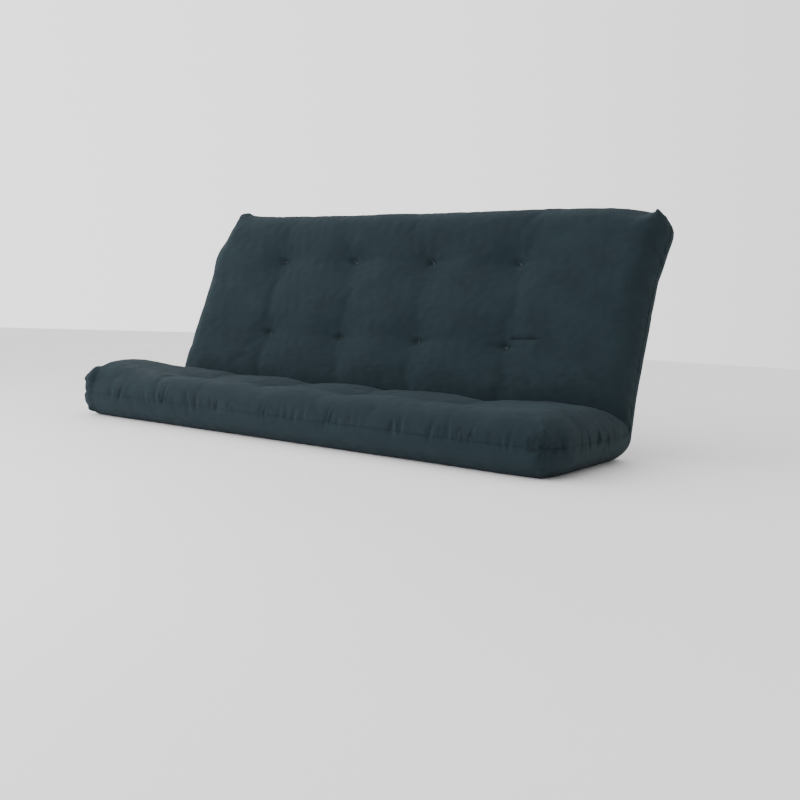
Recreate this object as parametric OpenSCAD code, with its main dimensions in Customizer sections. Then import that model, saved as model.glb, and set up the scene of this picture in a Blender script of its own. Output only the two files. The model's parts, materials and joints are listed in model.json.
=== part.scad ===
// Tufted futon mattress, made up as a couch: the seat lies flat on z = 0 and the
// back rises behind it. The same mattress lies flat when the back is let down.
//
// Every sub-part is first drawn on the mattress as a flat bed: X runs along its
// length, Y from the front edge of the seat to the top edge of the back, and Z
// from the underside to the upper face. on_seat() and on_back() then put it in
// place, on either side of the fold.

/* [Mattress] */
// Length, with the ends bulged by the filling
mattress_l = 1960; // [1500:10:2100]
// Width as a flat bed, from the front edge to the top edge of the back
mattress_w = 1368; // [1300:1:1450]
// Loft, the thickness between the two faces
loft = 178; // [172:1:200]
// Part of the width that is the seat, up to the fold
seat_w = 592; // [575:1:620]
// Slope of the back above horizontal
back_angle = 70; // [60:1:76]

/* [Edges and corners] */
// Rounding of the filled edges
edge_r = 60; // [50:1:70]
// Rounding of the four corners, seen from above
corner_r = 60; // [50:1:70]

/* [Layers] */
// Thickness of the cover, with its hems
cover_t = 2; // [1.5:0.1:2.5]
// Thickness of the fibre wrap
wrap_t = 16; // [14:1:18]
// Thickness of the outer cotton batts
batt_t = 28; // [26:1:30]
// Thickness of the foam slabs
foam_t = 30; // [25:1:30]

/* [Seams] */
// Depth of the perimeter seam's allowance
seam_w = 10; // [6:1:12]
// Thickness of the perimeter seam's allowance
seam_t = 2; // [1.5:0.1:2.5]
// Depth of each corner seam's allowance
corner_seam_w = 10; // [6:1:10]
// Number of stitches that close the filling opening
closing_stitches_n = 24; // [10:1:30]
// Distance between the closing stitches
closing_pitch = 20; // [15:1:20]

/* [Tufts] */
// Number of tufts in a row
tufts_in_row = 4; // [3:1:4]
// Distance between the tufts in a row
tuft_pitch = 359; // [300:1:375]
// Distance between the rows of tufts
row_pitch = 314; // [310:1:322]
// Distance of the first row from the front edge
first_row = 210; // [195:1:220]
// Sideways place of the middle of the top row
tuft_shift = -58; // [-80:1:80]
// How far each row lies to the right of the row behind it
row_drift = 20; // [0:1:30]
// Radius of a tuft's dimple at the face
dimple_r = 45; // [35:1:50]
// Depth of a tuft's dimple
dimple_d = 24; // [18:1:28]
// Radius of the tufting twine
twine_r = 1.5; // [1:0.1:2]
// Radius of the knots
knot_r = 6; // [4:0.5:7]
// Thickness of the knots
knot_t = 4; // [3:0.5:5]

/* [Label] */
// Width of the blank sewn-in label
label_w = 50; // [40:1:60]
// Length of the label below the seam
label_h = 58; // [40:1:60]
// Thickness of the label
label_t = 0.6; // [0.4:0.1:0.8]
// Distance of the label from the front edge
label_place = 430; // [300:1:480]

/* [Hidden] */
$fn = 48;

gap = 0.3;          // between one layer and the next
fold_gap = 0.4;     // from the fold's planes to the solids on each side
far = 3000;         // larger than the mattress
pierce_r = twine_r + 0.3;
dimple_floor_r = knot_r + 3;

mid = loft / 2;     // height of the perimeter seam and of the fold's pivot
back_w = mattress_w - seat_w;
fold_half = back_angle / 2;     // each side's share of the fold
reach = (back_w - edge_r) * cos(back_angle) + (mid - edge_r) * sin(back_angle) + edge_r;
pivot_y = seat_w - (seat_w + reach) / 2;      // centres the couch on y = 0
front_y = pivot_y - seat_w;

wrap_in = cover_t + gap;             // insets from the outside of the mattress
core_in = cover_t + wrap_t + gap;
lower_batt_z = cover_t + wrap_t;     // undersides of the layers above the wrap
lower_foam_z = lower_batt_z + batt_t;
middle_batt_z = lower_foam_z + foam_t;
upper_foam_z = loft - middle_batt_z;
upper_batt_z = loft - lower_foam_z;
upper_wrap_z = loft - lower_batt_z;

cover_colour = "#2c3c48";
seam_colour = "#22303a";
wrap_colour = "#f1efe8";
batt_colour = "#e6dcc6";
foam_colour = "#efe3b4";
twine_colour = "#1d2830";
label_colour = "#f4f4f0";

// ---- outlines ----

module rounded(x0, x1, y0, y1, r) {
    translate([x0 + r, y0]) square([x1 - x0 - 2 * r, y1 - y0]);
    translate([x0, y0 + r]) square([x1 - x0, y1 - y0 - 2 * r]);
    for (x = [x0 + r, x1 - r], y = [y0 + r, y1 - r]) translate([x, y]) circle(r);
}

// Across the bed's length, upper face at +Y
module end_outline(inset) {
    half = mattress_l / 2 - inset;
    rounded(-half, half, inset, loft - inset, edge_r - inset);
}

// The whole mattress as a flat bed, drawn in by inset
module bed(inset) {
    half = mattress_l / 2 - inset;
    intersection() {
        rotate([90, 0, 90])
            translate([0, 0, -half])
                linear_extrude(2 * half)
                    rounded(inset, mattress_w - inset, inset, loft - inset, edge_r - inset);
        translate([0, mattress_w, 0])
            rotate([90, 0, 0])
                linear_extrude(mattress_w)
                    end_outline(inset);
        linear_extrude(loft)
            rounded(-half, half, inset, mattress_w - inset, corner_r - inset);
    }
}

module slab(z0, z1) {
    translate([-far / 2, -far / 2, z0]) cube([far, far, z1 - z0]);
}

// ---- the fold ----

// The side of the fold nearer the front edge: straight across below the pivot,
// slanted above it by half of the fold
module seat_side() {
    slant = fold_gap / cos(fold_half) + mid * tan(fold_half);
    rotate([90, 0, 90])
        translate([0, 0, -far / 2])
            linear_extrude(far)
                polygon([
                    [-far / 2, -1],
                    [seat_w - fold_gap, -1],
                    [seat_w - fold_gap, mid],
                    [seat_w - slant, loft],
                    [seat_w - slant, loft + 1],
                    [-far / 2, loft + 1]
                ]);
}

module back_side() {
    translate([0, 2 * seat_w, 0]) mirror([0, 1, 0]) seat_side();
}

module on_seat() {
    translate([0, front_y, 0])
        intersection() {
            children();
            seat_side();
        }
}

module on_back() {
    translate([0, pivot_y, mid])
        rotate([back_angle, 0, 0])
            translate([0, -seat_w, -mid])
                intersection() {
                    children();
                    back_side();
                }
}

// Bends a lower layer's end outline round the pivot, from the seat to the back
module round_fold() {
    translate([0, pivot_y, mid])
        rotate([0, 90, 0])
            rotate_extrude(angle = back_angle)
                intersection() {
                    translate([mid, 0]) rotate(90) children();
                    translate([seam_t / 2 + gap, -far / 2]) square([far, far]);
                }
}

// ---- tufts ----

row_y = [for (i = [0 : 3]) first_row + i * row_pitch];
column_x = [for (i = [0 : tufts_in_row - 1])
    tuft_shift + (i - (tufts_in_row - 1) / 2) * tuft_pitch];

module at_tufts(rows) {
    for (row = rows, x = column_x)
        translate([x + (3 - row) * row_drift, row_y[row], 0])
            children();
}

module needle_holes() {
    at_tufts([0 : 3]) cylinder(h = loft, r = pierce_r, $fn = 24);
}

// A dimple's hollow in both faces, grown outwards by skin
module dimples(skin) {
    at_tufts([0 : 3]) {
        depth = dimple_d + skin;
        translate([0, 0, loft - depth])
            cylinder(h = depth, r1 = dimple_floor_r + skin, r2 = dimple_r + skin);
        cylinder(h = depth, r1 = dimple_r + skin, r2 = dimple_floor_r + skin);
    }
}

module twine(row) {
    color(twine_colour)
        at_tufts([row])
            translate([0, 0, dimple_d])
                cylinder(h = loft - 2 * dimple_d, r = twine_r, $fn = 24);
}

module knots(row, z) {
    color(twine_colour)
        at_tufts([row])
            translate([0, 0, z])
                cylinder(h = knot_t, r = knot_r, $fn = 24);
}

module face_knots(row) { knots(row, loft - dimple_d); }
module underside_knots(row) { knots(row, dimple_d - knot_t); }

// ---- cover ----

module cover(z0, z1) {
    color(cover_colour)
        difference() {
            intersection() {
                union() {
                    difference() {
                        bed(0);
                        bed(cover_t);
                    }
                    intersection() {
                        bed(0);
                        dimples(cover_t);
                    }
                }
                slab(z0, z1);
            }
            dimples(0);
            needle_holes();
        }
}

module top_cover() { cover(mid + seam_t / 2, loft + 1); }
module bottom_cover() { cover(-1, mid - seam_t / 2); }

module fold_cover() {
    color(cover_colour)
        round_fold()
            difference() {
                end_outline(0);
                end_outline(cover_t);
            }
}

module perimeter_seam() {
    color(seam_colour)
        intersection() {
            difference() {
                bed(0);
                linear_extrude(loft)
                    rounded(
                        seam_w - mattress_l / 2, mattress_l / 2 - seam_w,
                        seam_w, mattress_w - seam_w,
                        corner_r - seam_w
                    );
            }
            slab(mid - seam_t / 2, mid + seam_t / 2);
        }
}

// The sewn-up corners of both panels, as fins inside the cover
module corner_fins(y, skin) {
    edge_clear = 20;
    diagonal = corner_r * (sqrt(2) - 1) + cover_t + gap;
    size = [corner_seam_w, seam_t, mid - seam_t / 2 - gap - edge_clear];
    turn = y > 0 ? -1 : 1;
    for (side = [-1, 1], z = [edge_clear, mid + seam_t / 2 + gap])
        translate([side * mattress_l / 2, y, z])
            rotate(turn * (side > 0 ? 135 : 45))
                translate([diagonal - skin, -seam_t / 2 - skin, -skin])
                    cube([size.x + 2 * skin, size.y + 2 * skin, size.z + 2 * skin]);
}

module corner_seams(y) {
    color(seam_colour) corner_fins(y, 0);
}

module closing_stitches_row() {
    stitch = [1, 1.2, 12];
    first = (seat_w + mattress_w - (closing_stitches_n - 1) * closing_pitch) / 2;
    color(seam_colour)
        for (i = [0 : closing_stitches_n - 1])
            translate([-mattress_l / 2 - stitch.x - 0.1, first + i * closing_pitch, mid])
                rotate([20, 0, 0])
                    translate([0, -stitch.y / 2, -stitch.z / 2])
                        cube(stitch);
}

module hanging_label() {
    color(label_colour)
        translate([-mattress_l / 2 - label_t - 0.2, label_place, mid - label_h])
            cube([label_t, label_w, label_h]);
}

// ---- filling ----

module wrap(z0, z1) {
    color(wrap_colour)
        difference() {
            intersection() {
                difference() {
                    bed(wrap_in);
                    bed(cover_t + wrap_t);
                }
                slab(z0, z1);
            }
            dimples(cover_t + gap);
            needle_holes();
            corner_fins(0, gap);
            corner_fins(mattress_w, gap);
        }
}

module upper_wrap() { wrap(mid + seam_t / 2 + gap, loft); }
module lower_wrap() { wrap(0, mid - seam_t / 2 - gap); }

module layer(z0, thickness, shade) {
    color(shade)
        difference() {
            intersection() {
                bed(core_in);
                slab(z0 + gap / 2, z0 + thickness - gap / 2);
            }
            dimples(cover_t + gap);
            needle_holes();
        }
}

module lower_batt() { layer(lower_batt_z, batt_t, batt_colour); }
module lower_foam() { layer(lower_foam_z, foam_t, foam_colour); }
module middle_batt() { layer(middle_batt_z, upper_foam_z - middle_batt_z, batt_colour); }
module upper_foam() { layer(upper_foam_z, foam_t, foam_colour); }
module upper_batt() { layer(upper_batt_z, batt_t, batt_colour); }

module fold_layer(z0, thickness, shade) {
    color(shade)
        round_fold()
            intersection() {
                end_outline(core_in);
                translate([-far / 2, z0 + gap / 2]) square([far, thickness - gap]);
            }
}

module fold_wrap() {
    color(wrap_colour)
        round_fold()
            difference() {
                end_outline(wrap_in);
                end_outline(cover_t + wrap_t);
            }
}

// ---- sub-parts ----

module seat_top_cover() { on_seat() top_cover(); }
module back_top_cover() { on_back() top_cover(); }
module seat_bottom_cover() { on_seat() bottom_cover(); }
module fold_bottom_cover() { fold_cover(); }
module back_bottom_cover() { on_back() bottom_cover(); }
module seat_perimeter_seam() { on_seat() perimeter_seam(); }
module back_perimeter_seam() { on_back() perimeter_seam(); }
module seat_corner_seams() { on_seat() corner_seams(0); }
module back_corner_seams() { on_back() corner_seams(mattress_w); }
module seat_upper_wrap() { on_seat() upper_wrap(); }
module back_upper_wrap() { on_back() upper_wrap(); }
module seat_upper_batt() { on_seat() upper_batt(); }
module back_upper_batt() { on_back() upper_batt(); }
module seat_upper_foam() { on_seat() upper_foam(); }
module back_upper_foam() { on_back() upper_foam(); }
module seat_middle_batt() { on_seat() middle_batt(); }
module back_middle_batt() { on_back() middle_batt(); }
module seat_lower_foam() { on_seat() lower_foam(); }
module fold_lower_foam() { fold_layer(lower_foam_z, foam_t, foam_colour); }
module back_lower_foam() { on_back() lower_foam(); }
module seat_lower_batt() { on_seat() lower_batt(); }
module fold_lower_batt() { fold_layer(lower_batt_z, batt_t, batt_colour); }
module back_lower_batt() { on_back() lower_batt(); }
module seat_lower_wrap() { on_seat() lower_wrap(); }
module fold_lower_wrap() { fold_wrap(); }
module back_lower_wrap() { on_back() lower_wrap(); }
module seat_front_tuft_ties() { on_seat() twine(0); }
module seat_rear_tuft_ties() { on_seat() twine(1); }
module back_lower_tuft_ties() { on_back() twine(2); }
module back_upper_tuft_ties() { on_back() twine(3); }
module seat_front_face_knots() { on_seat() face_knots(0); }
module seat_rear_face_knots() { on_seat() face_knots(1); }
module back_lower_face_knots() { on_back() face_knots(2); }
module back_upper_face_knots() { on_back() face_knots(3); }
module seat_front_underside_knots() { on_seat() underside_knots(0); }
module seat_rear_underside_knots() { on_seat() underside_knots(1); }
module back_lower_underside_knots() { on_back() underside_knots(2); }
module back_upper_underside_knots() { on_back() underside_knots(3); }
module closing_stitches() { on_back() closing_stitches_row(); }
module care_label() { on_seat() hanging_label(); }

seat_top_cover();
back_top_cover();
seat_bottom_cover();
fold_bottom_cover();
back_bottom_cover();
seat_perimeter_seam();
back_perimeter_seam();
seat_corner_seams();
back_corner_seams();
seat_upper_wrap();
back_upper_wrap();
seat_upper_batt();
back_upper_batt();
seat_upper_foam();
back_upper_foam();
seat_middle_batt();
back_middle_batt();
seat_lower_foam();
fold_lower_foam();
back_lower_foam();
seat_lower_batt();
fold_lower_batt();
back_lower_batt();
seat_lower_wrap();
fold_lower_wrap();
back_lower_wrap();
seat_front_tuft_ties();
seat_rear_tuft_ties();
back_lower_tuft_ties();
back_upper_tuft_ties();
seat_front_face_knots();
seat_rear_face_knots();
back_lower_face_knots();
back_upper_face_knots();
seat_front_underside_knots();
seat_rear_underside_knots();
back_lower_underside_knots();
back_upper_underside_knots();
closing_stitches();
care_label();
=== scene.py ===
"""Looks of the tufted futon mattress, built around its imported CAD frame.

Everything is drawn on the mattress as a flat bed first: x runs along its length, s across its
width from the front edge of the seat to the top edge of the back, and h up from the underside.
warp() fills and tufts the flat bed, and bend() makes it up as the couch. Metres throughout.
"""
import json
import math

import bpy
import numpy as np
from mathutils import Matrix, Vector


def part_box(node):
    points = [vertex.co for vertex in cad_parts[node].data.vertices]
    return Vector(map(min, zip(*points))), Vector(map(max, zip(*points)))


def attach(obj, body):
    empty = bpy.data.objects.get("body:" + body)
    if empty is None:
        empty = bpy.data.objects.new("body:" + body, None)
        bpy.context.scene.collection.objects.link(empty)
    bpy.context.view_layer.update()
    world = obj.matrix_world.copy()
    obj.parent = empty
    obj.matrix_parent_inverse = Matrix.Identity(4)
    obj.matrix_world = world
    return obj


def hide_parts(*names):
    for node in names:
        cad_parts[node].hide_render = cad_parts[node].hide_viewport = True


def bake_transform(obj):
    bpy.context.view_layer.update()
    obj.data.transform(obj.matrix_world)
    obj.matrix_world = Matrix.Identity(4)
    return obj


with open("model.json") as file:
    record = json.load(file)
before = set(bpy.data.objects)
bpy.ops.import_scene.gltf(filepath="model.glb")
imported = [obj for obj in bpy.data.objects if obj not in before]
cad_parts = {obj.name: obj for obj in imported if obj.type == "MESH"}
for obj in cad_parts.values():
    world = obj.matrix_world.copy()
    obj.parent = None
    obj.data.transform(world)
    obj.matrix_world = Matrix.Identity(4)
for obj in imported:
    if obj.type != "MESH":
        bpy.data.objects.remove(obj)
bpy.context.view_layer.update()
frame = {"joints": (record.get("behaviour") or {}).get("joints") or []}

# ---- driving sizes, from the frame ----

joint = frame["joints"][0]
PIVOT_Y = joint["pos_m"][1]
MID = joint["pos_m"][2]                      # half of the loft: pivot and perimeter seam
LOFT = 2 * MID
BACK_ANGLE = math.radians(joint["range_deg"][1])
HALF_FOLD = BACK_ANGLE / 2
FRONT_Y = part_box("seat_perimeter_seam")[0].y
SEAT_W = PIVOT_Y - FRONT_Y
HALF_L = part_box("seat_perimeter_seam")[1].x
TUFTS_IN_ROW = 4
TWINE_R = 0.0015       # of the frame's twine


def unbend(y, z):
    """The place s on the flat bed of a point on the back's middle plane."""
    return SEAT_W + (y - PIVOT_Y) * math.cos(BACK_ANGLE) + (z - MID) * math.sin(BACK_ANGLE)


seam_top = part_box("back_perimeter_seam")[1]
BED_W = unbend(seam_top.y, seam_top.z)


def tuft_row(node, on_back):
    """(s, [x of each tuft]) of one row, from its ties."""
    low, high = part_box(node)
    y, z = (low.y + high.y) / 2, (low.z + high.z) / 2
    s = unbend(y, z) if on_back else SEAT_W + y - PIVOT_Y
    return s, np.linspace(low.x + TWINE_R, high.x - TWINE_R, TUFTS_IN_ROW)


ROWS = [
    ("seat_front", *tuft_row("seat_front_tuft_ties", False)),
    ("seat_rear", *tuft_row("seat_rear_tuft_ties", False)),
    ("back_lower", *tuft_row("back_lower_tuft_ties", True)),
    ("back_upper", *tuft_row("back_upper_tuft_ties", True)),
]

# ---- driving values of the looks ----

GRID = 0.0065          # spacing of the cover's mesh; the simulated one has twice this
LAYER_GRID = 0.018     # spacing of the layers' meshes
FOLD_REACH = 0.16      # how far the fold squeezes and stretches the filling

# the filled shape
INSET = 0.022          # from the CAD block to the sewn cover, before the filling bulges it
FILL = 0.057           # rounding of the filled edges
LEFT_BULGE = 0.062     # how far each end bulges past its corners
RIGHT_BULGE = 0.036
FRONT_BULGE = 0.010
TOP_BULGE = 0.030
END_FROM = 0.6         # distance from the middle at which the ends' bulges start
SIDE_REACH = 0.25      # how far the front's and the top's bulges reach inwards
LEFT_EAR = 0.052       # how far the back's corners stand up
RIGHT_EAR = 0.012
LEFT_EAR_IN = 0.017    # and lean in
RIGHT_EAR_IN = 0.034
LEFT_SHOULDER = 0.009  # how far the back's ends bulge further, near the top
RIGHT_SHOULDER = 0.014
SHOULDER_DOWN = 0.055  # from the top edge to the middle of the right shoulder
WAIST = 0.040          # how far the right end draws in below it
HEAP = 0.030           # the filling heaped up at the seat's left end
HEAP_FROM_END = 0.10
HEAP_FROM_FRONT = 0.20
HEAP_R = 0.15
LIP = 0.005            # how far the lower half stands out over the deck
TUCK = 0.020           # how far the underside's edge is drawn in
TUCK_H = 0.055         # height at which that starts

# the tufts and the folds between them
TUFT_DIP = 0.034       # depth of a tuft
TUFT_REACH = 0.062     # how far its funnel reaches
PIT_R = 0.015          # radius of the pit that holds the knot
SIDE_FOLD = 0.0065     # depth of the fold to each side of a tuft
LONG_FOLD = 0.008      # depth of the fold that runs from the back's lower right tuft
LONG_FOLD_L = 0.14     # its length
LONG_FOLD_UP = 0.030   # how far it starts above its row
LONG_FOLD_LEAN = -0.02  # and its slope to the right
ROW_PULL = 0.0045      # how far the twine draws the cover in between the tufts of a row
COLUMN_PULL = 0.0055   # and from row to row
CREASE = 0.020         # depth of the crease between the seat and the back
HELD_R = 0.016         # the cover is held this far round a tuft
HELD_CREASE = 0.010    # and this far to each side of the crease

# the cover
FRAMES = 20            # length of the simulation that fills the cover
PRESSURE = 4
SWELL = 0.010          # the furthest that the simulation may move a point
SETTLED = 0.8          # the part of that move that is kept
SLACK = 0.006          # how much longer the cloth is than the sewn shape
PUCKERS = 220          # gathers round the perimeter seam
PUCKER = 0.0058        # depth of the deepest one
CORNER_FOLD = 0.0024   # depth of the folds that fan out from the corners
COVER_DARK = (0.0072, 0.0145, 0.0188)
COVER_LIGHT = (0.0142, 0.0255, 0.0306)
COVER_TEAL = (0.0110, 0.0242, 0.0283)
# lighter colour of the ridges: wear of the nap, and a painted sheen
COVER_WORN_AND_SHEEN = (0.024, 0.041, 0.047)

# the filling
COVER_ROOM = 0.004     # between the cover and its wraps
TUFT_ROOM = 0.012      # more of it at a tuft
WRAP_T = 0.012
CORE_ROOM = 0.014      # between the wraps and the layers inside
CORE_T = 0.029         # thickness of a foam slab, and of the lower batt
MIDDLE_BATT_T = 0.026
UPPER_BATT_T = 0.025
LAYER_GAP = 0.0005
BATT_EDGE = 0.008      # radius of the layers' edges
FOAM_EDGE = 0.003
LAYER_DEEPER = 0.008   # how much more a tuft draws in the layers

# thread, twine and label
SEAM_R = 0.0015
STRAND_R = 0.0008      # each strand of a tuft's tie
KNOT_R = 0.0055
KNOT_LIFT = 0.0030     # from the cover to the middle of the knot's twine
STITCHES = 24
STITCH_R = 0.0007
LABEL_HEM = 0.0035


def smooth(t):
    t = np.clip(t, 0.0, 1.0)
    return t * t * (3 - 2 * t)


def bell(distance, width):
    return np.exp(-((distance / width) ** 2))


def ripple(a, b, wavelength, seed, waves=14):
    """Smooth, seeded unevenness about zero, with features of one size."""
    draw = np.random.default_rng(seed)
    angle = draw.uniform(0, 2 * math.pi, waves)
    phase = draw.uniform(0, 2 * math.pi, waves)
    pitch = 2 * math.pi / (wavelength * draw.uniform(0.75, 1.4, waves))
    total = np.zeros(np.broadcast(a, b).shape)
    for t, p, k in zip(angle, phase, pitch):
        total += np.sin(k * (a * math.cos(t) + b * math.sin(t)) + p)
    return total / math.sqrt(waves)


# ---- shape of the filled, tufted flat bed ----


def tuft_dip(column, row, x, s, deeper):
    """One tuft: a funnel, a pit at the knot, a fold to each side and gathers round it."""
    dx, ds = x - column, s - row
    off = np.hypot(dx, ds)
    turn = np.arctan2(ds, dx)
    wide = np.hypot(dx / 1.25, ds)
    funnel = 0.68 * TUFT_DIP * np.exp(-np.sqrt((wide / TUFT_REACH) ** 2 + 0.05) + 0.22)
    pit = (0.32 * TUFT_DIP + deeper) * bell(wide, PIT_R + deeper)
    length = np.where(dx > 0, 0.035 + 0.03 * abs(math.sin(7 * column + row)), 0.032)
    fold = SIDE_FOLD * bell(ds - 0.05 * dx * math.sin(5 * column), 0.010) * bell(dx, length)
    fan = np.sin(5 * turn + 9 * column) + 0.6 * np.sin(9 * turn + 5 * row)
    gathers = 0.0013 * fan * np.exp(-off / 0.05) * smooth(off / 0.03)
    return funnel + pit + fold + gathers


def between(value, low, high, ramp):
    """1 between low and high, with a ramp inside each end."""
    return smooth((value - low) / ramp) * smooth((high - value) / ramp)


def row_pull(x, s):
    """The shallow trough along each row of tufts."""
    depth = 0
    for _, row, columns in ROWS:
        for left, right in zip(columns[:-1], columns[1:]):
            sway = 0.012 * np.sin((x - left) / (right - left) * math.pi)
            depth = depth + ROW_PULL * bell(s - row - sway, 0.040) * between(x, left, right, 0.05)
    return depth


def column_pull(x, s):
    """The shallow trough from each tuft to the one in the next row."""
    depth = 0
    for (_, low, near), (_, high, far) in zip(ROWS[:-1], ROWS[1:]):
        part = (s - low) / (high - low)
        for i, (start, end) in enumerate(zip(near, far)):
            sway = (0.022 if i % 2 else -0.014) * np.sin(part * math.pi)
            off = x - start - (end - start) * part - sway
            depth = depth + COLUMN_PULL * bell(off, 0.038) * between(s, low, high, 0.05)
    return depth


def long_fold(x, s):
    """The fold that runs to the right from the last tuft of the back's lower row."""
    _, row, columns = ROWS[2]
    start, end = columns[-1] + 0.01, columns[-1] + LONG_FOLD_L
    run = smooth((x - start) / 0.02) * smooth((end - x) / 0.04)
    middle = row + LONG_FOLD_UP + LONG_FOLD_LEAN * (x - columns[-1])
    return LONG_FOLD * bell(s - middle, 0.009) * run


def dips(x, s, deeper=0.0):
    """How far the tufts and the pull between them draw a face in."""
    tufts = sum(tuft_dip(column, row, x, s, deeper)
                for _, row, columns in ROWS for column in columns)
    return tufts + row_pull(x, s) + long_fold(x, s) + column_pull(x, s)


def upper_face(x, s, deeper=0.0):
    """Height of the upper face above the middle."""
    edge = np.minimum(HALF_L - np.abs(x), np.minimum(s, BED_W - s))
    crown = 0.002 * smooth(edge / 0.2) - 0.012 * (1 - smooth(edge / 0.12))
    uneven = 0.0026 * ripple(x, s, 0.32, 1) + 0.0008 * ripple(x, s, 0.11, 2)
    crease = CREASE * bell(s - SEAT_W, 0.045)
    heap = HEAP * bell(x + HALF_L - HEAP_FROM_END, HEAP_R) * bell(s - HEAP_FROM_FRONT, HEAP_R)
    return MID - 0.006 + crown + uneven + heap - dips(x, s, deeper) - crease


def lower_face(x, s, deeper=0.0):
    """Height of the lower face below the middle: flat where the deck holds it."""
    return MID - 0.7 * dips(x, s, deeper)


def warp(x, s, h, deeper=0.0):
    """Moves points of the flat bed's nominal block into the filled shape."""
    up = h - MID
    tall = np.where(up > 0, upper_face(x, s, deeper), lower_face(x, s, deeper)) / MID
    down = BED_W - s                          # distance from the back's top edge
    along_s = smooth(s / 0.15) * smooth(down / 0.22)
    along_x = smooth((HALF_L - np.abs(x)) / 0.22)
    at_end = smooth((np.abs(x) - END_FROM) / (HALF_L - END_FROM))
    end_bulge = np.where(x > 0, RIGHT_BULGE, -LEFT_BULGE) * along_s
    front = FRONT_BULGE * along_x * smooth(1 - s / SIDE_REACH)
    top = TOP_BULGE * along_x * smooth(1 - down / SIDE_REACH)
    # the back's right end is full at the shoulder and narrow below it
    waist = smooth((down - SHOULDER_DOWN) / 0.20) * (1 - 0.35 * smooth((down - 0.6) / 0.3))
    right = RIGHT_SHOULDER * bell(down - SHOULDER_DOWN, 0.05) - WAIST * waist
    left = -LEFT_SHOULDER * bell(down - 0.16, 0.10)
    ends = end_bulge + np.where(x > 0, right, left)
    left_ear = bell(np.hypot(x + HALF_L, down), 0.13)
    right_ear = bell(np.hypot(x - HALF_L, down), 0.05)
    new_x = x + ends * at_end + LEFT_EAR_IN * left_ear - RIGHT_EAR_IN * right_ear
    new_s = s - front + top + LEFT_EAR * left_ear + RIGHT_EAR * right_ear
    return new_x, new_s, MID + up * tall


def bend(x, s, h):
    """Takes the flat bed to the couch: seat, fold and back."""
    v = s - SEAT_W
    w = h - MID
    lost = np.where(w > 0, np.tan(HALF_FOLD) * w, HALF_FOLD * w)
    reach = np.abs(v)
    q = np.where(reach < FOLD_REACH, reach * (FOLD_REACH - lost) / FOLD_REACH, reach - lost)
    u = q + lost                              # distance from the pivot's normal plane
    side = np.where(v < 0, -1.0, 1.0)
    seat_y, seat_z = PIVOT_Y - u, MID + w
    back_y = PIVOT_Y + u * math.cos(BACK_ANGLE) - w * math.sin(BACK_ANGLE)
    back_z = MID + u * math.sin(BACK_ANGLE) + w * math.cos(BACK_ANGLE)
    radius = np.maximum(np.abs(w), 1e-9)
    turn = HALF_FOLD - math.pi / 2 + side * q / radius
    arc_y, arc_z = PIVOT_Y + radius * np.cos(turn), MID + radius * np.sin(turn)
    on_arc = (w < 0) & (u < 0)
    y = np.where(on_arc, arc_y, np.where(side < 0, seat_y, back_y))
    z = np.where(on_arc, arc_z, np.where(side < 0, seat_z, back_z))
    return np.stack([x, y, z], -1)


# ---- meshes ----


def block_cells(step, half_x, s0, s1, h0, h1):
    """Numbers of cells along a block, all even."""
    return tuple(2 * max(1, round(side / step / 2)) for side in (2 * half_x, s1 - s0, h1 - h0))


def block_grid(cells, half_x, s0, s1, h0, h1):
    """A block's surface as a grid: index of each (i, j, k), the list of them, places, quads."""
    nx, ns, nh = cells
    index = np.full((nx + 1, ns + 1, nh + 1), -1)
    shell = np.ones(index.shape, bool)
    shell[1:-1, 1:-1, 1:-1] = False
    ijk = np.argwhere(shell)
    index[shell] = np.arange(len(ijk))
    place = np.stack([
        -half_x + 2 * half_x * ijk[:, 0] / nx,
        s0 + (s1 - s0) * ijk[:, 1] / ns,
        h0 + (h1 - h0) * ijk[:, 2] / nh,
    ], -1)
    quads = []

    def add(layer, flip):
        a, b, c, d = layer[:-1, :-1], layer[1:, :-1], layer[1:, 1:], layer[:-1, 1:]
        quad = np.stack([a, b, c, d], -1).reshape(-1, 4)
        quads.append(quad[:, ::-1] if flip else quad)

    add(index[:, :, -1], False)
    add(index[:, :, 0], True)
    add(index[:, 0, :], False)
    add(index[:, -1, :], True)
    add(index[0, :, :], True)
    add(index[-1, :, :], False)
    return index, ijk, place, np.concatenate(quads)


def round_block(place, half_x, s0, s1, h0, h1, radius):
    """Rounds a block's edges and corners; also gives each point's outward normal."""
    low = np.array([-half_x, s0, h0]) + radius
    high = np.array([half_x, s1, h1]) - radius
    core = np.clip(place, low, high)
    out = place - core
    length = np.linalg.norm(out, axis=1, keepdims=True)
    normal = out / np.maximum(length, 1e-9)
    return core + normal * radius, normal


def mesh_object(name, points, faces, material, cloth=None, wear=None):
    """A mesh object from arrays, without the points that no face uses."""
    used = np.unique(faces)
    renumber = np.full(len(points), -1)
    renumber[used] = np.arange(len(used))
    mesh = bpy.data.meshes.new(name)
    mesh.from_pydata(points[used].tolist(), [], renumber[faces].tolist())
    mesh.polygons.foreach_set("use_smooth", [True] * len(mesh.polygons))
    mesh.update()
    obj = bpy.data.objects.new(name, mesh)
    bpy.context.scene.collection.objects.link(obj)
    obj.data.materials.append(material)
    laid = points if cloth is None else cloth
    attribute = mesh.attributes.new("cloth", "FLOAT_VECTOR", "POINT")
    attribute.data.foreach_set("vector", laid[used].astype(np.float32).ravel())
    if wear is not None:
        attribute = mesh.attributes.new("wear", "FLOAT", "POINT")
        attribute.data.foreach_set("value", wear[used].astype(np.float32))
    return obj


def point_normals(points, quads):
    """Area-weighted normals of a quad mesh."""
    a, b, c, d = (points[quads[:, i]] for i in range(4))
    face = np.cross(c - a, d - b)
    normal = np.zeros_like(points)
    for i in range(4):
        np.add.at(normal, quads[:, i], face)
    return normal / np.maximum(np.linalg.norm(normal, axis=1, keepdims=True), 1e-12)


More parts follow.
